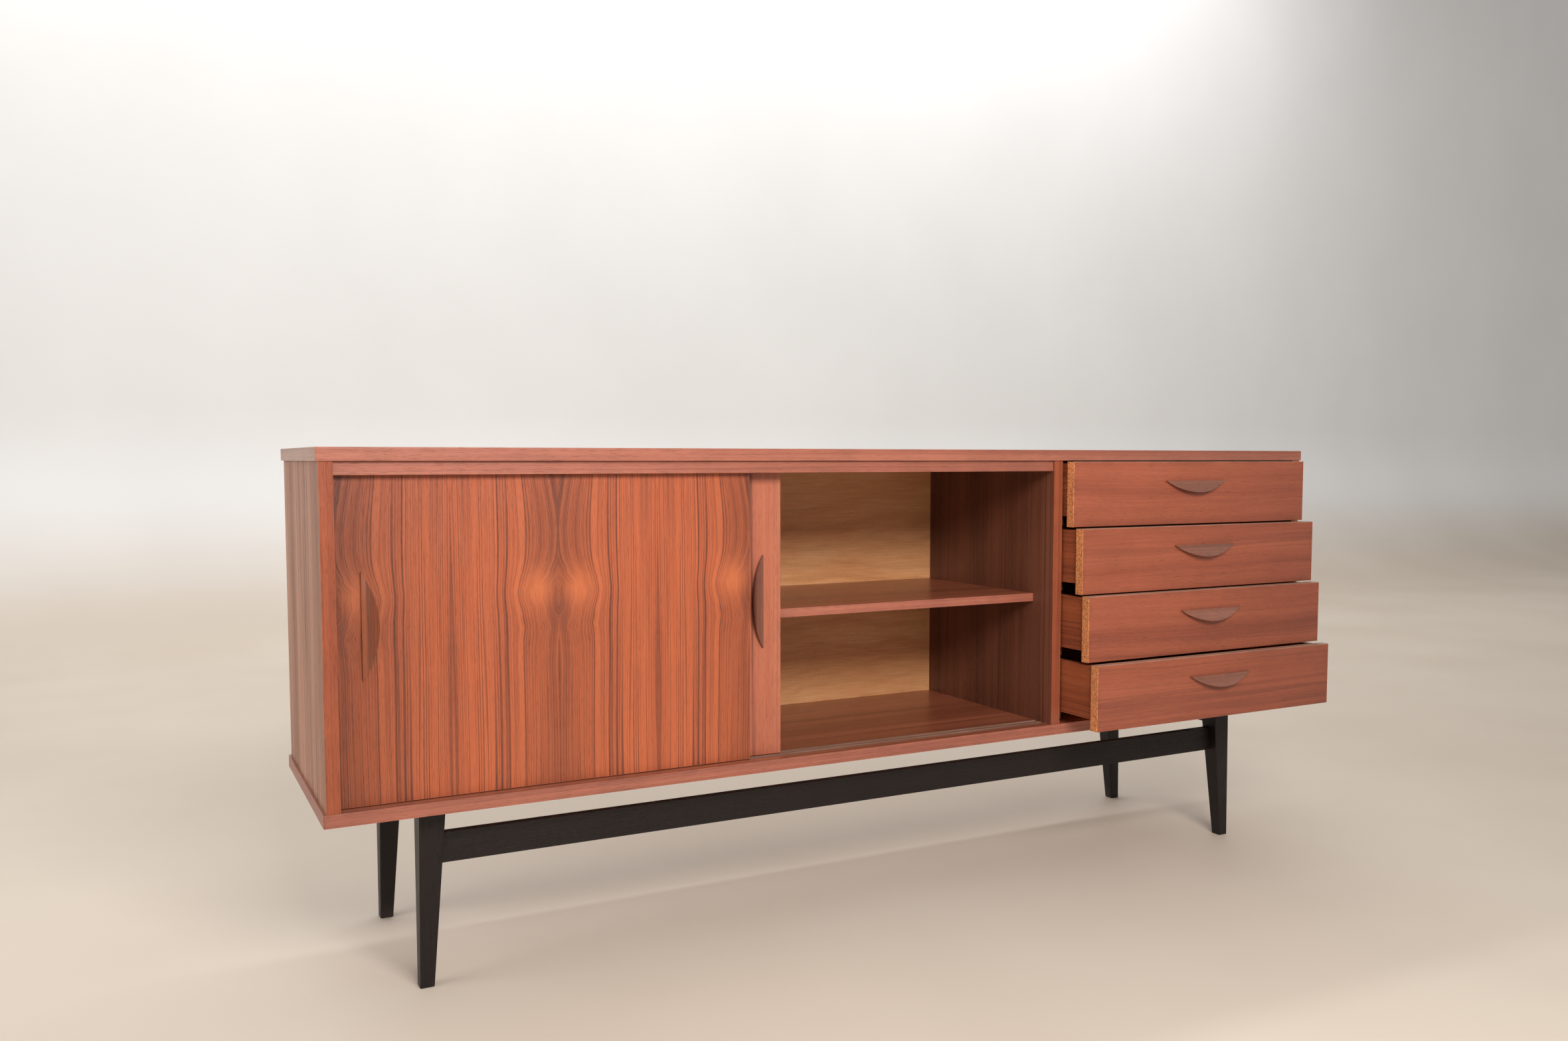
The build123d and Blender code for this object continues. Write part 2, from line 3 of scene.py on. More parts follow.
import bpy
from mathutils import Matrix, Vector


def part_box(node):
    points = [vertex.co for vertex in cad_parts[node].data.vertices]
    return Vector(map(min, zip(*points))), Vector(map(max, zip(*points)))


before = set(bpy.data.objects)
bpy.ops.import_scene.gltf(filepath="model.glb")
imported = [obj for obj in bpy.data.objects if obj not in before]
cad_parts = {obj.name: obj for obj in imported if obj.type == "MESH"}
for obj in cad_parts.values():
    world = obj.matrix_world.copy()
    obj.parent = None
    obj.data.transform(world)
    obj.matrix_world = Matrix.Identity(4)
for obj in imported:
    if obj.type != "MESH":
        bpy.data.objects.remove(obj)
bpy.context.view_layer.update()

X, Y, Z = 0, 1, 2

FACE_TOLERANCE = 0.0007         # metres; how near its plane a point counts as on a face
RELIEF = 0.0003                 # depth of the grain, metres
PULL_ROUNDING = 0.0009
EDGE_ROUNDING = 0.0008
WELD_DISTANCE = 0.00001

# Front door's figure, metres: knots beside the joints between its mirrored leaves
LEAVES = 4.0
KNOT_HEIGHT = 0.290             # above the door's lower edge
KNOT_REACH = 0.058              # how far from a joint the grain is bent
KNOT_CENTRE = 0.030
KNOT_GLOW = 0.62
HEART_WIDTH = 0.074
# Painted shade: the door's left-hand strip is darkened for light falling off towards that edge.
OUTER_STRIP = 0.26              # the outer part of the first leaf that is darker
OUTER_PAINTED_SHADE = 0.24

# Painted shade: boards are painted darker towards their lower right-hand end, for light falling off across
# the piece.
DRAWER_PAINTED_SHADE = 0.24              # how much darker a board is at its right-hand end
TOP_PAINTED_SHADE = 0.20


def srgb(red, green, blue):
    """Linear colour from 0-255 display values."""
    def channel(value):
        value = value / 255.0
        return value / 12.92 if value <= 0.04045 else ((value + 0.055) / 1.055) ** 2.4
    return (channel(red), channel(green), channel(blue), 1.0)


class Finish:
    """One procedural material. x, y and z are the surface point's place in metres."""

    def __init__(self, name, roughness=0.5, specular=0.5, coat=0.0, coat_roughness=0.3, metallic=0.0):
        self.material = bpy.data.materials.new(name)
        self.material.use_nodes = True
        self.tree = self.material.node_tree
        self.tree.nodes.clear()
        output = self.tree.nodes.new("ShaderNodeOutputMaterial")
        self.shader = self.tree.nodes.new("ShaderNodeBsdfPrincipled")
        self.tree.links.new(self.shader.outputs[0], output.inputs["Surface"])
        self.shader.inputs["Roughness"].default_value = roughness
        self.shader.inputs["Specular IOR Level"].default_value = specular
        self.shader.inputs["Coat Weight"].default_value = coat
        self.shader.inputs["Coat Roughness"].default_value = coat_roughness
        self.shader.inputs["Metallic"].default_value = metallic
        place = self.tree.nodes.new("ShaderNodeTexCoord").outputs["Object"]
        split = self.tree.nodes.new("ShaderNodeSeparateXYZ")
        self.tree.links.new(place, split.inputs[0])
        self.axis = split.outputs

    def feed(self, socket, value):
        if isinstance(value, bpy.types.NodeSocket):
            self.tree.links.new(value, socket)
        elif value is not None:
            socket.default_value = value

    def math(self, operation, *values, clamp=False):
        node = self.tree.nodes.new("ShaderNodeMath")
        node.operation = operation
        node.use_clamp = clamp
        for socket, value in zip(node.inputs, values):
            self.feed(socket, value)
        return node.outputs[0]

    def add(self, a, b):
        return self.math("ADD", a, b)

    def sub(self, a, b):
        return self.math("SUBTRACT", a, b)

    def mul(self, a, b):
        return self.math("MULTIPLY", a, b)

    def vector(self, a, b, c):
        node = self.tree.nodes.new("ShaderNodeCombineXYZ")
        for socket, value in zip(node.inputs, (a, b, c)):
            self.feed(socket, value)
        return node.outputs[0]

    def noise(self, a, b, c, detail=2.0, roughness=0.5, distortion=0.0):
        node = self.tree.nodes.new("ShaderNodeTexNoise")
        self.feed(node.inputs["Vector"], self.vector(a, b, c))
        node.inputs["Scale"].default_value = 1.0
        node.inputs["Detail"].default_value = detail
        node.inputs["Roughness"].default_value = roughness
        node.inputs["Distortion"].default_value = distortion
        return node.outputs["Fac"]

    def cells(self, a, b, c, randomness=1.0):
        node = self.tree.nodes.new("ShaderNodeTexVoronoi")
        self.feed(node.inputs["Vector"], self.vector(a, b, c))
        node.inputs["Scale"].default_value = 1.0
        node.inputs["Randomness"].default_value = randomness
        return node.outputs["Distance"], node.outputs["Color"]

    def step(self, value, low, high, to_low=0.0, to_high=1.0):
        node = self.tree.nodes.new("ShaderNodeMapRange")
        node.interpolation_type = "SMOOTHSTEP"
        for name, number in (("Value", value), ("From Min", low), ("From Max", high),
                             ("To Min", to_low), ("To Max", to_high)):
            self.feed(node.inputs[name], number)
        return node.outputs[0]

    def ramp(self, value, stops):
        node = self.tree.nodes.new("ShaderNodeValToRGB")
        bar = node.color_ramp
        while len(bar.elements) < len(stops):
            bar.elements.new(0.5)
        for element, (place, colour) in zip(bar.elements, stops):
            element.position = place
            element.color = colour
        self.feed(node.inputs[0], value)
        return node.outputs[0]

    def mix(self, amount, a, b, mode="MIX"):
        node = self.tree.nodes.new("ShaderNodeMix")
        node.data_type = "RGBA"
        node.blend_type = mode
        colours = [socket for socket in node.inputs if socket.type == "RGBA"]
        self.feed(node.inputs[0], amount)
        self.feed(colours[0], a)
        self.feed(colours[1], b)
        return [socket for socket in node.outputs if socket.type == "RGBA"][0]

    def shade(self, colour, amount):
        """colour times a grey of that amount."""
        node = self.tree.nodes.new("ShaderNodeVectorMath")
        node.operation = "SCALE"
        self.feed(node.inputs[0], colour)
        self.feed(node.inputs["Scale"], amount)
        return node.outputs[0]

    def blend(self, amount, a, b):
        """Between two numbers."""
        return self.add(self.mul(self.sub(1.0, amount), a), self.mul(amount, b))

    def face(self, axis, place, tolerance=FACE_TOLERANCE):
        """1 on the face of the board at that coordinate, 0 elsewhere."""
        return self.math("COMPARE", self.axis[axis], place, tolerance)

    def edge_distance(self, low, high):
        """How far the surface point is from the nearest edge of a board's box, in metres."""
        gaps = [self.math("MINIMUM", self.sub(self.axis[i], low[i]), self.sub(high[i], self.axis[i]))
                for i in range(3)]
        smaller = self.math("MINIMUM", gaps[0], gaps[1])
        larger = self.math("MAXIMUM", gaps[0], gaps[1])
        return self.math("MAXIMUM", smaller, self.math("MINIMUM", larger, gaps[2]))

    def finish(self, colour, roughness=None, height=None, relief=RELIEF):
        self.feed(self.shader.inputs["Base Color"], colour)
        self.feed(self.shader.inputs["Roughness"], roughness)
        if height is not None:
            bump = self.tree.nodes.new("ShaderNodeBump")
            bump.inputs["Strength"].default_value = 1.0
            bump.inputs["Distance"].default_value = relief
            self.feed(bump.inputs["Height"], height)
            self.tree.links.new(bump.outputs[0], self.shader.inputs["Normal"])
        return self.material


# ---- Wood -------------------------------------------------------------------------------
class Look:
    """Colours and figure of one kind of wood. lines is how many growth lines cross a metre."""

    def __init__(self, dark, middle, light, line, line_strength=0.6, wander=1.0, band=22.0, lines=90.0,
                 contrast=1.0, roughness=0.42):
        self.dark, self.middle, self.light, self.line = (srgb(*c) for c in (dark, middle, light, line))
        self.line_strength, self.wander, self.band, self.lines = line_strength, wander, band, lines
        self.contrast, self.roughness = contrast, roughness


DOOR_TEAK = Look((148, 70, 39), (182, 90, 51), (198, 106, 61), (88, 42, 27), 1.0, 0.6, 27.0, 160.0, 0.55)
PLAIN_DOOR_TEAK = Look((156, 82, 56), (176, 98, 71), (190, 113, 84), (100, 52, 37),
                       0.8, 0.4, 24.0, 150.0, 0.6)
# Teak of the outer sides and the top: the wood's tone raised paler and pinker as a painted sheen, the
# reflection of a bright window on the grazed sides.
SHEENED_SIDE_TEAK = Look((152, 104, 81), (179, 127, 103), (197, 147, 122), (98, 60, 44),
                 0.9, 0.3, 26.0, 125.0, 1.2, 0.5)
LIPPING = Look((150, 84, 65), (168, 98, 77), (184, 113, 89), (120, 66, 52), 0.4, 0.3, 40.0, 120.0, 0.9)
DIVIDER_LIPPING = Look((146, 74, 48), (166, 87, 56), (182, 101, 67), (112, 56, 38),
                       0.5, 0.3, 40.0, 160.0, 0.9)
DRAWER_TEAK = Look((138, 68, 46), (160, 83, 57), (174, 96, 66), (104, 52, 39), 0.34, 1.3, 17.0, 40.0, 0.75)
# Darker copy of the teak for faces inside the cabinet: painted shade for faces deep inside.
SHADED_INNER_TEAK = Look((92, 52, 38), (112, 65, 48), (130, 78, 58), (66, 37, 28), 0.6, 0.4, 20.0, 95.0, 0.9, 0.36)
# Lighter copy of the inside teak for the upward faces of the bottom and shelves: painted light and a painted
# sheen reflecting the back panel.
LIT_SHELF_TEAK = Look((126, 68, 47), (150, 84, 59), (170, 99, 71), (92, 50, 36), 0.5, 0.5, 18.0, 80.0, 0.9, 0.30)
BOX_WOOD = Look((130, 65, 39), (153, 79, 47), (170, 94, 58), (92, 46, 30), 0.5, 0.6, 20.0, 70.0)
RUNNER_WOOD = Look((132, 84, 52), (152, 100, 64), (172, 118, 80), (104, 66, 42),
                   0.4, 0.4, 26.0, 110.0, 0.8, 0.6)
BEECH = Look((190, 150, 108), (206, 168, 124), (218, 184, 142), (168, 124, 84),
             0.3, 0.3, 60.0, 400.0, 0.7, 0.6)
HANDLE_TEAK = Look((118, 58, 31), (142, 72, 40), (160, 86, 50), (88, 44, 26),
                   0.6, 0.5, 36.0, 150.0, 0.9, 0.30)
# Darker copy of the pull teak for the rear door's pull: painted shade for its face turned from the light.
SHADED_HANDLE_TEAK = Look((92, 50, 38), (112, 63, 48), (130, 78, 60), (66, 36, 28), 0.6, 0.5, 36.0, 150.0, 0.9, 0.28)
DRAWER_HANDLE = Look((112, 66, 49), (134, 82, 63), (154, 99, 78), (84, 48, 36),
                     0.35, 0.5, 40.0, 160.0, 0.6, 0.24)
EDGE_PALE = Look((160, 118, 98), (176, 133, 112), (190, 148, 126), (134, 96, 78), 0.4, 0.3, 40.0, 150.0, 0.8)


def veneer(s, along, across, look, seed, warp=None):
    """Colour, roughness and height of straight-grained wood. warp is an extra shift across the grain."""
    drift = s.sub(s.noise(s.mul(along, 1.1), s.mul(across, 3.0), seed, 2.0), 0.5)
    grain = s.add(across, s.mul(drift, 0.035 * look.wander))
    if warp is not None:
        grain = s.add(grain, warp)
    band = s.noise(s.mul(grain, look.band), s.mul(along, 0.45), seed + 3.1, 3.0, 0.55)
    fine = s.noise(s.mul(grain, 520.0), s.mul(along, 5.0), seed + 1.9, 2.0)
    pore = s.step(s.noise(s.mul(grain, 1900.0), s.mul(along, 55.0), seed + 11.3, 1.0), 0.60, 0.74)
    cloud = s.noise(s.mul(along, 7.0), s.mul(grain, 16.0), seed + 17.9, 2.0)

    # Growth lines: thin dark lines where a slow wave crosses its middle, closer together in dark bands.
    wave = s.noise(s.mul(grain, look.lines), s.mul(along, 0.5), seed + 7.7, 2.0, 0.45)
    line = s.step(s.math("ABSOLUTE", s.sub(wave, 0.5)), 0.055, 0.006)
    ripple = s.noise(s.mul(grain, look.lines * 2.3), s.mul(along, 0.8), seed + 5.2, 1.0)
    thin = s.step(s.math("ABSOLUTE", s.sub(ripple, 0.5)), 0.07, 0.0)
    strength = s.noise(s.mul(grain, look.lines * 0.33), s.mul(along, 0.3), seed + 2.4, 2.0)
    growth = s.mul(line, s.step(strength, 0.34, 0.60))
    growth = s.math("MAXIMUM", growth, s.mul(s.mul(thin, 0.6), s.step(band, 0.56, 0.40)))
    growth = s.mul(growth, look.line_strength)

    tone = s.add(s.mul(s.sub(band, 0.5), 1.15 * look.contrast), 0.5)
    tone = s.add(tone, s.mul(s.sub(fine, 0.5), 0.42))
    tone = s.add(tone, s.mul(s.sub(wave, 0.5), 0.40 * look.contrast))
    colour = s.ramp(tone, ((0.22, look.dark), (0.5, look.middle), (0.80, look.light)))
    colour = s.mix(growth, colour, look.line)
    brightness = s.add(s.mul(s.sub(cloud, 0.5), 0.30), 1.0)
    brightness = s.sub(brightness, s.mul(pore, 0.22))
    colour = s.shade(colour, brightness)
    roughness = s.add(s.mul(s.sub(wave, 0.5), 0.16), look.roughness)
    roughness = s.add(roughness, s.mul(pore, 0.12))
    height = s.sub(s.mul(fine, 0.35), s.add(s.mul(pore, 0.5), s.mul(growth, 0.25)))
    return colour, roughness, height


def chipboard(s, a, b, c):
    """Raw particleboard: pressed flakes of mixed tan and brown."""
    near, tint = s.cells(s.mul(a, 420.0), s.mul(b, 700.0), s.mul(c, 420.0))
    broad = s.noise(s.mul(a, 160.0), s.mul(b, 260.0), s.mul(c, 160.0), 3.0, 0.7)
    flake = s.mix(0.5, tint, s.vector(broad, broad, broad))
    grey = s.tree.nodes.new("ShaderNodeRGBToBW")
    s.feed(grey.inputs[0], flake)
    tone = s.add(s.mul(s.sub(grey.outputs[0], 0.5), 1.3), 0.5)
    colour = s.ramp(tone, ((0.12, srgb(158, 88, 46)), (0.5, srgb(220, 134, 78)), (0.88, srgb(240, 176, 114))))
    dark = s.step(near, 0.55, 0.85)
    colour = s.mix(s.mul(dark, 0.55), colour, srgb(96, 54, 32))
    return colour, 0.85, s.sub(s.mul(broad, 1.2), s.mul(dark, 1.6))


def layer(s, amount, under, over):
    """The over surface where amount is 1, the under surface where it is 0."""
    colour = s.mix(amount, under[0], over[0])
    return colour, s.blend(amount, under[1], over[1]), s.blend(amount, under[2], over[2])


def wear_and_edge_highlight(s, surface, low, high, seed, light=0.16, width=0.0016):
    """Edges rubbed a little paler and smoother, in patches, with grime just inside them. The paler edges are
    partly wear and partly a painted highlight, such as the bright lips of the pulls.
    """
    colour, roughness, height = surface
    edge = s.edge_distance(low, high)
    patch = s.noise(s.mul(s.axis[X], 24.0), s.mul(s.axis[Y], 24.0), s.add(s.mul(s.axis[Z], 24.0), seed), 3.0)
    rubbed = s.mul(s.step(edge, width, 0.0), s.step(patch, 0.36, 0.62))
    grime = s.mul(s.step(edge, 0.014, 0.001), s.step(patch, 0.62, 0.36))
    # paler rubbed edges: wear, and partly a painted edge highlight
    colour = s.shade(colour, s.add(s.sub(1.0, s.mul(grime, 0.10)), s.mul(rubbed, light)))
    roughness = s.sub(roughness, s.mul(rubbed, 0.06))
    return colour, roughness, height


def board(node, look, along, across, faces=(), seed=0.0, specular=0.5, coat=0.12, painted_shade=0.0):
    """Wood for a board. faces lists (axis, coordinate, kind, along, across, look) for other faces.

    painted_shade darkens the board by that much towards its lower right-hand end: painted shade for light
    falling off.
    """
    low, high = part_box(node)
    s = Finish(node + "_finish", specular=specular, coat=coat, coat_roughness=0.28)
    surface = veneer(s, s.axis[along], s.axis[across], look, seed)
    for axis, place, kind, face_along, face_across, face_look in faces:
        if kind == "chip":
            over = chipboard(s, s.axis[X], s.axis[Y], s.axis[Z])
        else:
            over = veneer(s, s.axis[face_along], s.axis[face_across], face_look, seed + 5.3)
        surface = layer(s, s.face(axis, place), surface, over)
    surface = wear_and_edge_highlight(s, surface, low, high, seed)
    if painted_shade:
        # painted shade, darker towards the lower right, for light falling off
        painted_falloff = s.step(s.sub(s.axis[X], s.mul(s.axis[Z], 0.5)), low[X] - 0.25, high[X])
        surface = (s.shade(surface[0], s.sub(1.0, s.mul(painted_falloff, painted_shade))), *surface[1:])
    dress(node, s.finish(*surface))


def dress(node, material):
    """Gives a CAD node this material on every face."""
    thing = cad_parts[node]
    thing.data.materials.clear()
    thing.data.materials.append(material)


def soften(node, width, segments=2, angle=30.0):
    """Rounds a CAD node's sharp edges with modifiers; its mesh stays as it is."""
    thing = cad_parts[node]
    weld = thing.modifiers.new("weld", "WELD")
    weld.merge_threshold = WELD_DISTANCE
    bevel = thing.modifiers.new("bevel", "BEVEL")
    bevel.width = width
    bevel.segments = segments
    bevel.limit_method = "ANGLE"
    bevel.angle_limit = math.radians(angle)
    bevel.harden_normals = True


# ---- Front door: four mirrored leaves of figured veneer ------------------------------------
def figured_door(node, seed):
    low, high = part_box(node)
    leaf = (high[X] - low[X]) / LEAVES
    s = Finish(node + "_finish", specular=0.5, coat=0.12, coat_roughness=0.28)
    x, z = s.axis[X], s.axis[Z]
    fold = s.math("PINGPONG", s.sub(x, low[X]), leaf)
    # each leaf was sliced a little later than the last, so its figure differs slightly
    slip = s.mul(s.sub(s.noise(s.mul(x, 3.0), s.mul(z, 2.0), seed, 1.0), 0.5), 0.012)
    up = s.sub(z, low[Z] + KNOT_HEIGHT)
    near = s.math("EXPONENT", s.mul(s.math("POWER", s.math("DIVIDE", fold, KNOT_REACH), 2.0), -1.0))

    def hump(middle, width):
        offset = s.math("DIVIDE", s.sub(up, middle), width)
        return s.math("EXPONENT", s.mul(s.mul(offset, offset), -1.0))

    # above the knot the grain runs in towards the joint, at the knot it swells outwards
    funnel, swell, recoil = hump(0.085, 0.085), hump(0.0, 0.026), hump(-0.045, 0.034)
    curl = s.sub(s.noise(s.mul(fold, 26.0), s.mul(z, 30.0), seed + 2.0, 1.0), 0.5)
    warp = s.sub(s.mul(funnel, 0.017), s.mul(swell, 0.018))
    warp = s.add(warp, s.mul(recoil, 0.004))
    warp = s.add(warp, s.mul(curl, s.mul(s.math("MAXIMUM", swell, s.mul(recoil, 0.7)), 0.034)))
    warp = s.add(s.mul(warp, near), slip)
    colour, roughness, height = veneer(s, z, fold, DOOR_TEAK, seed, warp)
    spot = s.math("DIVIDE", s.sub(fold, KNOT_CENTRE), 0.026)
    spot = s.math("EXPONENT", s.mul(s.mul(spot, spot), -1.0))
    glow = s.mul(s.mul(hump(0.004, 0.030), spot), KNOT_GLOW)
    colour = s.mix(glow, colour, srgb(214, 116, 66))
    eye = s.mul(s.step(fold, 0.020, 0.004), hump(-0.030, 0.030))
    colour = s.mix(s.mul(eye, 0.45), colour, srgb(112, 56, 38))
    # darker heartwood runs down both sides of the joints with knots
    heart = s.mul(s.step(fold, HEART_WIDTH, 0.010), 0.26)
    heart = s.mul(heart, s.sub(1.0, s.mul(glow, 0.9)))
    colour = s.shade(colour, s.sub(1.0, heart))
    # painted shade along the door's left-hand strip, for light falling off
    painted_left_shade = s.step(s.sub(x, low[X]), OUTER_STRIP, 0.0)
    colour = s.shade(colour, s.sub(1.0, s.mul(painted_left_shade, OUTER_PAINTED_SHADE)))
    ends = lipped_edges(s, low, high, seed)
    surface = layer(s, ends[0], (colour, roughness, height), ends[1])
    surface = wear_and_edge_highlight(s, surface, low, high, seed)
    dress(node, s.finish(*surface))


def lipped_edges(s, low, high, seed):
    """Where a door's narrow edges are, and their lipping."""
    mask = s.math("MAXIMUM", s.face(X, low[X]), s.face(X, high[X]))
    mask = s.math("MAXIMUM", mask, s.math("MAXIMUM", s.face(Z, low[Z]), s.face(Z, high[Z])))
    return mask, veneer(s, s.axis[Z], s.add(s.axis[X], s.axis[Y]), LIPPING, seed + 4.0)


# ---- Plywood ------------------------------------------------------------------------------
def plywood(node, along, across, seed):
    low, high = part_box(node)
    s = Finish(node + "_finish", roughness=0.5, specular=0.4)
    a, c = s.axis[along], s.axis[across]
    drift = s.noise(s.mul(a, 2.0), s.mul(c, 4.0), seed, 3.0, 0.55)
    level = s.add(s.mul(c, 10.0), s.mul(drift, 2.0))
    contour = s.math("SINE", s.mul(level, 17.0))
    patch = s.step(s.noise(s.mul(a, 1.6), s.mul(c, 5.0), seed + 8.0, 2.0), 0.40, 0.62)
    figure = s.mul(s.step(contour, 0.1, 1.0), s.add(0.35, s.mul(patch, 0.65)))
    broad = s.noise(s.mul(a, 3.0), s.mul(level, 1.4), seed + 2.0, 4.0, 0.6)
    fibre = s.noise(s.mul(a, 14.0), s.mul(c, 330.0), seed + 4.0, 3.0, 0.6)
    fleck = s.step(s.noise(s.mul(a, 120.0), s.mul(c, 1500.0), seed + 6.0, 1.0), 0.60, 0.74)
    tone = s.add(s.mul(s.sub(broad, 0.5), 0.9), s.add(0.5, s.mul(s.sub(fibre, 0.5), 0.8)))
    colour = s.ramp(tone, ((0.2, srgb(220, 150, 96)), (0.5, srgb(236, 170, 114)), (0.8, srgb(246, 192, 138))))
    colour = s.mix(s.mul(figure, 0.24), colour, srgb(190, 122, 74))
    colour = s.shade(colour, s.sub(1.0, s.mul(fleck, 0.16)))
    # the face turned to the wall was never oiled: greyer and drier
    colour = s.mix(s.face(Y, high[Y]), colour, (0.70, 0.84, 1.02, 1.0), "MULTIPLY")
    roughness = s.add(0.46, s.mul(s.sub(broad, 0.5), 0.2))
    height = s.sub(s.mul(fibre, 0.5), s.mul(fleck, 0.5))
    surface = wear_and_edge_highlight(s, (colour, roughness, height), low, high, seed)
    dress(node, s.finish(*surface))


# ---- Black base ---------------------------------------------------------------------------
def black_lacquer(node, along, across, seed):
    low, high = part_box(node)
    s = Finish(node + "_finish", roughness=0.42, specular=0.3)
    a, c = s.axis[along], s.axis[across]
    grain = s.noise(s.mul(c, 420.0), s.mul(a, 9.0), seed, 3.0, 0.6)
    pore = s.step(s.noise(s.mul(c, 1500.0), s.mul(a, 60.0), seed + 3.0, 1.0), 0.58, 0.72)
    wave = s.noise(s.mul(s.axis[X], 30.0), s.mul(s.axis[Y], 30.0), s.mul(s.axis[Z], 30.0), 3.0)
    dust = s.noise(s.mul(s.axis[X], 9.0), s.mul(s.axis[Y], 9.0), s.mul(s.axis[Z], 5.0), 4.0, 0.6)
    colour = s.ramp(s.add(s.mul(grain, 0.6), s.mul(dust, 0.4)),
                    ((0.25, srgb(20, 14, 13)), (0.5, srgb(27, 19, 18)), (0.8, srgb(36, 27, 25))))
    edge = s.edge_distance(low, high)
    chip = s.step(s.noise(s.mul(s.axis[X], 70.0), s.mul(s.axis[Y], 70.0), s.mul(s.axis[Z], 30.0), 4.0, 0.7),
                  0.62, 0.70)
    rubbed = s.mul(s.step(edge, 0.0020, 0.0004), chip)
    colour = s.mix(s.mul(rubbed, 0.7), colour, srgb(106, 74, 56))
    scuff = s.mul(s.step(s.axis[Z], 0.05, 0.0), s.step(dust, 0.45, 0.65))
    colour = s.mix(s.mul(scuff, 0.35), colour, srgb(96, 84, 76))
    roughness = s.add(0.36, s.add(s.mul(wave, 0.16), s.mul(scuff, 0.2)))
    height = s.add(s.mul(grain, 0.5), s.sub(s.mul(wave, 0.4), s.mul(pore, 0.7)))
    dress(node, s.finish(colour, roughness, height, 0.00025))


# ---- Small things -------------------------------------------------------------------------
def metal(node, dark, light, roughness, seed):
    s = Finish(node + "_finish", roughness=roughness, metallic=1.0)
    x, y, z = s.axis
    spots = s.noise(s.mul(x, 260.0), s.mul(y, 260.0), s.add(s.mul(z, 260.0), seed), 4.0, 0.65)
    brushed = s.noise(s.mul(x, 1800.0), s.mul(y, 300.0), s.mul(z, 1800.0), 2.0)
    colour = s.ramp(spots, ((0.3, srgb(*dark)), (0.7, srgb(*light))))
    tarnish = s.step(spots, 0.56, 0.70)
    rough = s.add(roughness, s.add(s.mul(tarnish, 0.22), s.mul(s.sub(brushed, 0.5), 0.12)))
    dress(node, s.finish(colour, rough, s.add(brushed, spots), 0.00004))


def plastic_strip(node, seed):
    s = Finish(node + "_finish", roughness=0.35)
    x, y, z = s.axis
    cloud = s.noise(s.mul(x, 12.0), s.mul(y, 300.0), s.add(z, seed), 4.0, 0.6)
    scratch = s.step(s.noise(s.mul(x, 3.0), s.mul(y, 2600.0), s.mul(z, 900.0), 2.0), 0.56, 0.66)
    wear = s.step(s.noise(s.mul(x, 5.0), seed, 0.0, 3.0), 0.42, 0.62)
    colour = s.ramp(cloud, ((0.3, srgb(112, 88, 76)), (0.6, srgb(134, 108, 94)), (0.8, srgb(156, 130, 116))))
    colour = s.shade(colour, s.sub(1.0, s.mul(scratch, 0.25)))
    colour = s.mix(s.mul(wear, 0.25), colour, srgb(120, 96, 80))
    rough = s.add(0.30, s.add(s.mul(scratch, 0.25), s.mul(wear, 0.15)))
    dress(node, s.finish(colour, rough, s.sub(cloud, scratch), 0.00005))


# ---- Dress every CAD node -----------------------------------------------------------------
def front_face(node, look=LIPPING, along=X, across=Z):
    return (Y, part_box(node)[0][Y], "lip", along, across, look)


def end_face(node, side, look=LIPPING, along=Y, across=Z):
    return (X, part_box(node)[side][X], "lip", along, across, look)


top_faces = [front_face("top_panel"), *(end_face("top_panel", side, EDGE_PALE) for side in (0, 1))]
board("top_panel", SHEENED_SIDE_TEAK, X, Y, top_faces, 1.0, painted_shade=TOP_PAINTED_SHADE)
bottom_faces = [front_face("bottom_panel"), *(end_face("bottom_panel", side) for side in (0, 1))]
board("bottom_panel", LIT_SHELF_TEAK, X, Y, bottom_faces, 2.0)
for number, node in enumerate(("left_side_panel", "right_side_panel")):
    outside = end_face(node, number, SHEENED_SIDE_TEAK, Z, Y)
    board(node, SHADED_INNER_TEAK, Z, Y, [outside, front_face(node, DIVIDER_LIPPING, Z, X)], 3.0 + number,
          specular=0.35, coat=0.0)
for number, node in enumerate(("bay_divider", "centre_divider")):
    board(node, SHADED_INNER_TEAK, Z, Y, [front_face(node, DIVIDER_LIPPING, Z, X)], 6.0 + number)
board("top_rail", LIPPING, X, Z, (), 8.0, painted_shade=TOP_PAINTED_SHADE)
for number, node in enumerate(("left_shelf", "right_shelf")):
    board(node, LIT_SHELF_TEAK, X, Y, [front_face(node)], 9.0 + number)
board("upper_door_track", RUNNER_WOOD, X, Z, (), 12.0, coat=0.0)
board("left_drawer_runners", RUNNER_WOOD, Y, Z, (), 13.0, coat=0.0)
board("right_drawer_runners", RUNNER_WOOD, Y, Z, (), 14.0, coat=0.0)
board("carcass_dowels", BEECH, Z, X, (), 15.0, coat=0.0)

figured_door("front_sliding_door", 21.0)
door_edges = [(X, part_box("rear_sliding_door")[side][X], "lip", Z, Y, LIPPING) for side in (0, 1)]
board("rear_sliding_door", PLAIN_DOOR_TEAK, Z, X, door_edges, 23.0)
board("front_door_handle", HANDLE_TEAK, Z, X, (), 24.0, coat=0.3)
board("rear_door_handle", SHADED_HANDLE_TEAK, Z, X, (), 25.0, coat=0.3)

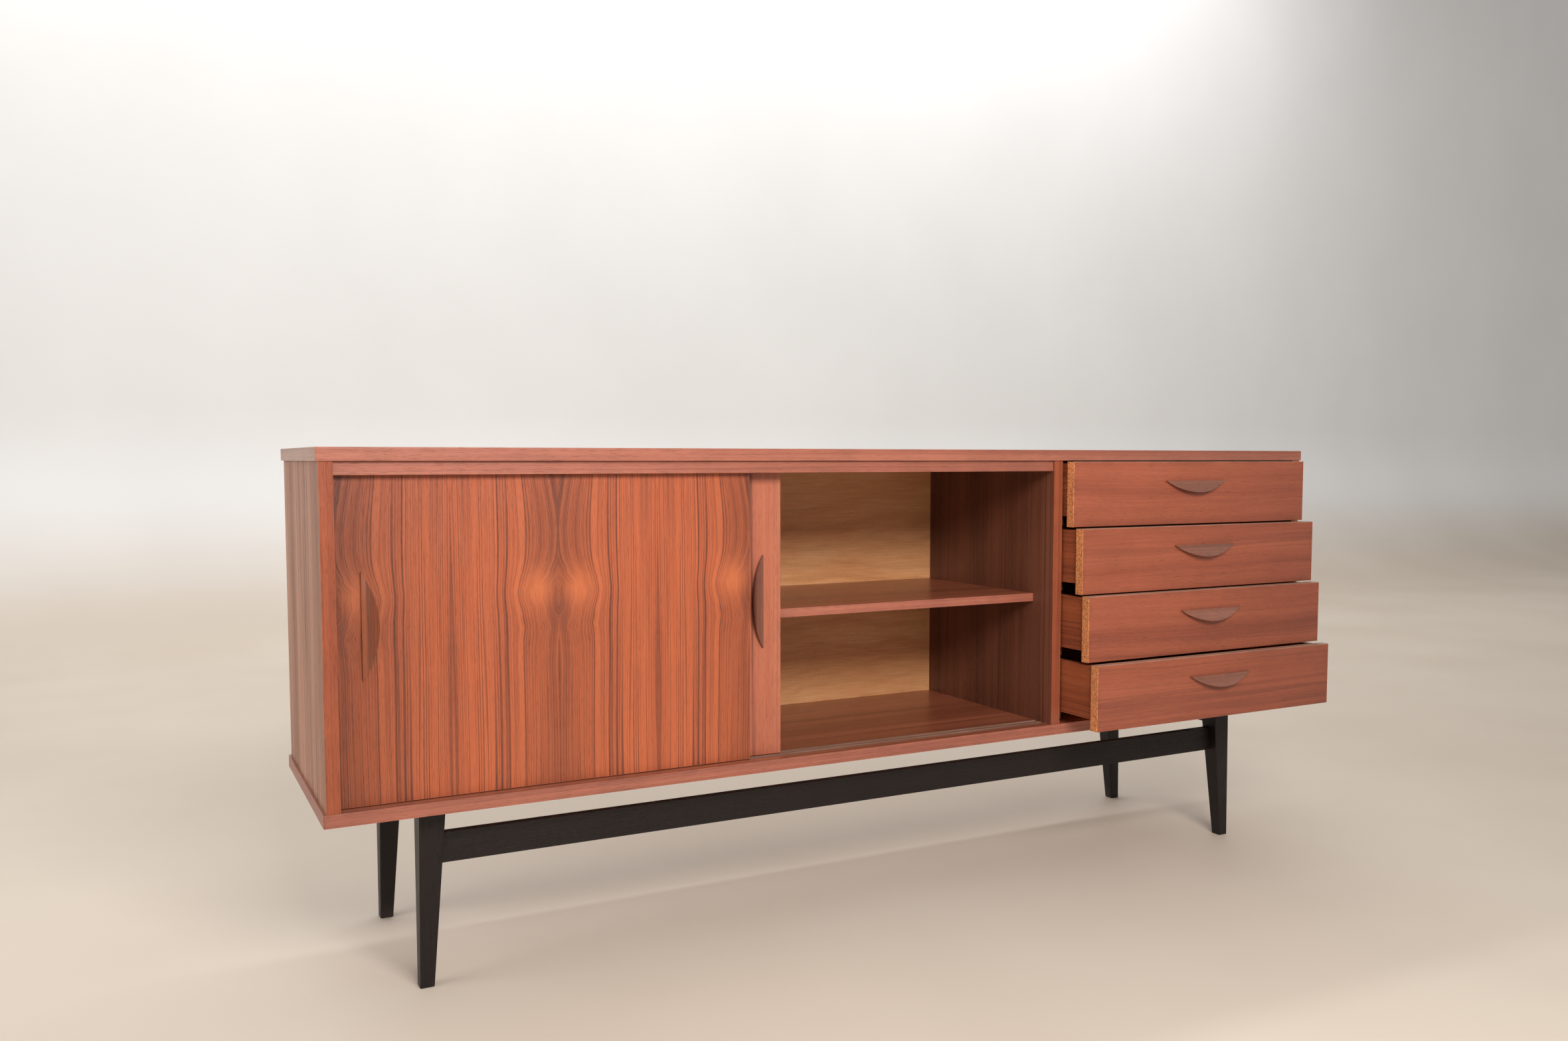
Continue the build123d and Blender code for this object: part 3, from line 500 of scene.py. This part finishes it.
for number in range(1, 5):
    name = f"drawer_{number}"
    low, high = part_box(f"{name}_front")
    others = [(X, low[X], "chip", Y, Z, None), (X, high[X], "chip", Y, Z, None),
              (Z, high[Z], "lip", X, Y, EDGE_PALE), (Y, high[Y], "lip", X, Z, BOX_WOOD)]
    board(f"{name}_front", DRAWER_TEAK, X, Z, others, 30.0 + 3 * number, painted_shade=DRAWER_PAINTED_SHADE)
    board(f"{name}_left_side", BOX_WOOD, Y, Z, (), 50.0 + number, coat=0.05)
    board(f"{name}_right_side", BOX_WOOD, Y, Z, (), 55.0 + number, coat=0.05)
    board(f"{name}_back", BOX_WOOD, X, Z, (), 60.0 + number, coat=0.05)
    board(f"{name}_handle", DRAWER_HANDLE, X, Z, (), 65.0 + number, coat=0.5)
    plywood(f"{name}_bottom", X, Y, 70.0 + number)

plywood("back_panel", X, Z, 80.0)

for number, node in enumerate(("front_left_leg", "front_right_leg", "rear_left_leg", "rear_right_leg")):
    black_lacquer(node, Z, X, 90.0 + number)
for number, node in enumerate(("front_stretcher", "rear_rail")):
    black_lacquer(node, X, Z, 95.0 + number)
for number, node in enumerate(("left_end_rail", "right_end_rail")):
    black_lacquer(node, Y, Z, 98.0 + number)

metal("shelf_pins", (150, 108, 52), (206, 164, 92), 0.28, 1.0)
metal("base_screws", (120, 120, 118), (168, 168, 164), 0.38, 2.0)
metal("back_panel_nails", (116, 116, 114), (160, 158, 154), 0.42, 3.0)
plastic_strip("front_running_strip", 1.0)
plastic_strip("rear_running_strip", 2.0)

for node in ("front_door_handle", "rear_door_handle", *(f"drawer_{n}_handle" for n in range(1, 5))):
    soften(node, PULL_ROUNDING, 3)
for node in ("left_side_panel", "right_side_panel", "bay_divider", "top_rail", "left_shelf", "right_shelf",
             "front_sliding_door", "rear_sliding_door", "bottom_panel"):
    soften(node, EDGE_ROUNDING)
for number in range(1, 5):
    soften(f"drawer_{number}_left_side", EDGE_ROUNDING)
    soften(f"drawer_{number}_right_side", EDGE_ROUNDING)

# ---- Studio -------------------------------------------------------------------------------
STUDIO_FRONT, STUDIO_BACK, STUDIO_HALF = -6.0, 4.2, 13.0     # metres
STUDIO_CURVE, STUDIO_TOP, CURVE_STEPS = 1.0, 5.0, 12
AMBIENT = 0.42


def cyclorama():
    """A pale floor that curves up into a wall behind the piece."""
    curve_start = STUDIO_BACK - STUDIO_CURVE
    profile = [(STUDIO_FRONT, 0.0), (curve_start, 0.0)]
    for step in range(1, CURVE_STEPS + 1):
        turn = math.pi / 2 * step / CURVE_STEPS
        profile.append((curve_start + STUDIO_CURVE * math.sin(turn),
                        STUDIO_CURVE - STUDIO_CURVE * math.cos(turn)))
    profile.append((STUDIO_BACK, STUDIO_TOP))
    points = [(side, y, z) for side in (-STUDIO_HALF, STUDIO_HALF) for y, z in profile]
    count = len(profile)
    faces = [(i, i + count, i + count + 1, i + 1) for i in range(count - 1)]
    mesh = bpy.data.meshes.new("studio_floor")
    mesh.from_pydata(points, [], faces)
    for polygon in mesh.polygons:
        polygon.use_smooth = True
    thing = bpy.data.objects.new("studio_floor", mesh)
    bpy.context.scene.collection.objects.link(thing)
    s = Finish("studio_floor_finish", roughness=0.6, specular=0.3)
    patch = s.noise(s.mul(s.axis[X], 1.2), s.mul(s.axis[Y], 1.2), s.axis[Z], 3.0)
    floor = s.ramp(patch, ((0.3, srgb(206, 192, 176)), (0.7, srgb(214, 201, 186))))
    wall = s.ramp(patch, ((0.3, srgb(238, 237, 236)), (0.7, srgb(243, 242, 241))))
    thing.data.materials.append(s.finish(s.mix(s.step(s.axis[Z], 0.02, 0.7), floor, wall)))


cyclorama()


def lamp(name, place, target, size, power, colour):
    light = bpy.data.lights.new(name, "AREA")
    light.shape = "RECTANGLE"
    light.size, light.size_y = size
    light.energy = power
    light.color = colour
    thing = bpy.data.objects.new(name, light)
    thing.location = place
    thing.rotation_euler = (Vector(target) - Vector(place)).to_track_quat("-Z", "Y").to_euler()
    bpy.context.scene.collection.objects.link(thing)


lamp("key", (-0.55, -2.4, 1.85), (-0.3, 0.0, 0.45), (1.3, 0.8), 67.0, (1.0, 0.975, 0.94))
lamp("side_fill", (-3.6, -0.1, 1.9), (-0.9, 0.0, 0.6), (1.8, 1.8), 34.0, (0.97, 0.98, 1.0))
lamp("wall_wash", (1.0, 2.7, 4.6), (1.0, 4.2, 0.9), (9.0, 0.6), 150.0, (0.98, 0.99, 1.0))

world = bpy.data.worlds.new("studio_light")
world.use_nodes = True
world.node_tree.nodes["Background"].inputs["Color"].default_value = (1.0, 0.995, 0.985, 1.0)
world.node_tree.nodes["Background"].inputs["Strength"].default_value = AMBIENT
bpy.context.scene.world = world
bpy.context.scene.view_settings.view_transform = "Standard"
bpy.context.scene.view_settings.look = "None"

# ---- Camera -------------------------------------------------------------------------------
CAMERA_PLACE = (-1.177, -1.936, 0.773)      # metres, at the photograph's viewing angle
CAMERA_DIP, CAMERA_HEADING = 3.757, -27.978     # degrees below level, and from straight ahead
SENSOR, LENS = 36.0, 28.90                  # millimetres
FAR = 50.0

camera_data = bpy.data.cameras.new("camera")
camera_data.sensor_width = SENSOR
camera_data.lens = LENS
camera_data.shift_x = -0.0053
camera_data.shift_y = 0.0137
camera_data.clip_end = FAR
camera = bpy.data.objects.new("camera", camera_data)
camera.location = CAMERA_PLACE
camera.rotation_euler = (math.radians(90.0 - CAMERA_DIP), 0.0, math.radians(CAMERA_HEADING))
bpy.context.scene.collection.objects.link(camera)
bpy.context.scene.camera = camera
